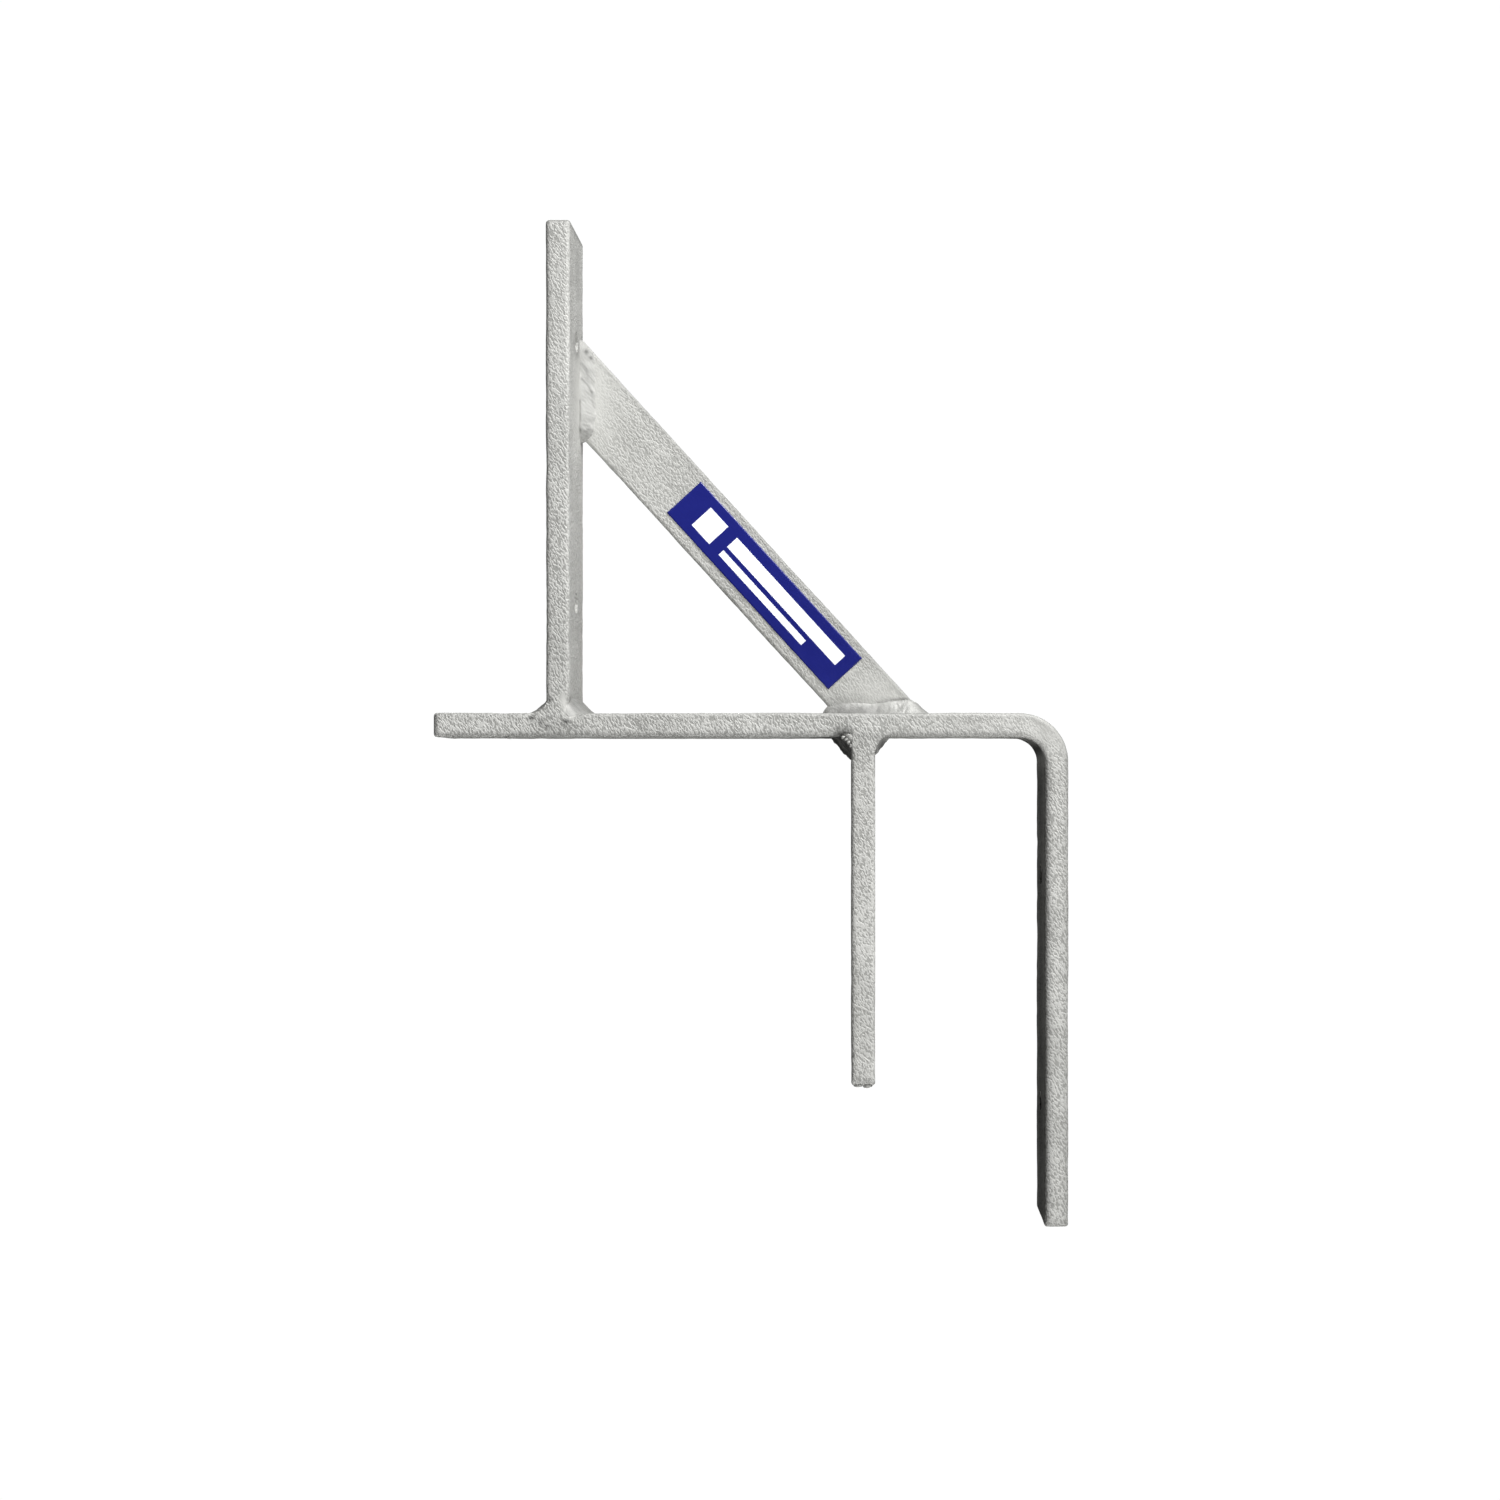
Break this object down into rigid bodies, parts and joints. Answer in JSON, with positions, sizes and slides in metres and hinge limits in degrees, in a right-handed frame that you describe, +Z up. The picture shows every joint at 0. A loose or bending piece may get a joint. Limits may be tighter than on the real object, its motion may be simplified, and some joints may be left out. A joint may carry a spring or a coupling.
{
  "type": "formwork bracket",
  "caption": "Welded flat-bar formwork bracket: a saddle of two legs hooks over an edge, with a braced upright and bolt holes.",
  "frame": {"origin": "middle of the saddle's seat, on the underside of the bent bar, halfway between its two legs and across its width", "axes": "+X along the horizontal bar towards the outer leg, +Y across the bars' width towards the flush back, +Z up"},
  "size_m": [0.26, 0.04, 0.4126],
  "materials": {
    "galvanised_bar": "matte hot-dip zinc, fine ripple",
    "galvanised_brace": "matte hot-dip zinc, fine ripple",
    "weld_bead": "zinc over weld ripples",
    "printed_label": "satin printed vinyl"
  },
  "bodies": {
    "root": {"bent_bar": "galvanised_bar", "upright_bar": "galvanised_bar", "inner_leg": "galvanised_bar", "diagonal_brace": "galvanised_brace", "brace_label": "printed_label", "upright_weld_left": "weld_bead", "upright_weld_right": "weld_bead", "upright_weld_front": "weld_bead", "upright_weld_back": "weld_bead", "inner_leg_weld_left": "weld_bead", "inner_leg_weld_right": "weld_bead", "inner_leg_weld_front": "weld_bead", "inner_leg_weld_back": "weld_bead", "brace_head_weld": "weld_bead", "brace_foot_weld": "weld_bead"}
  },
  "joints": []
}
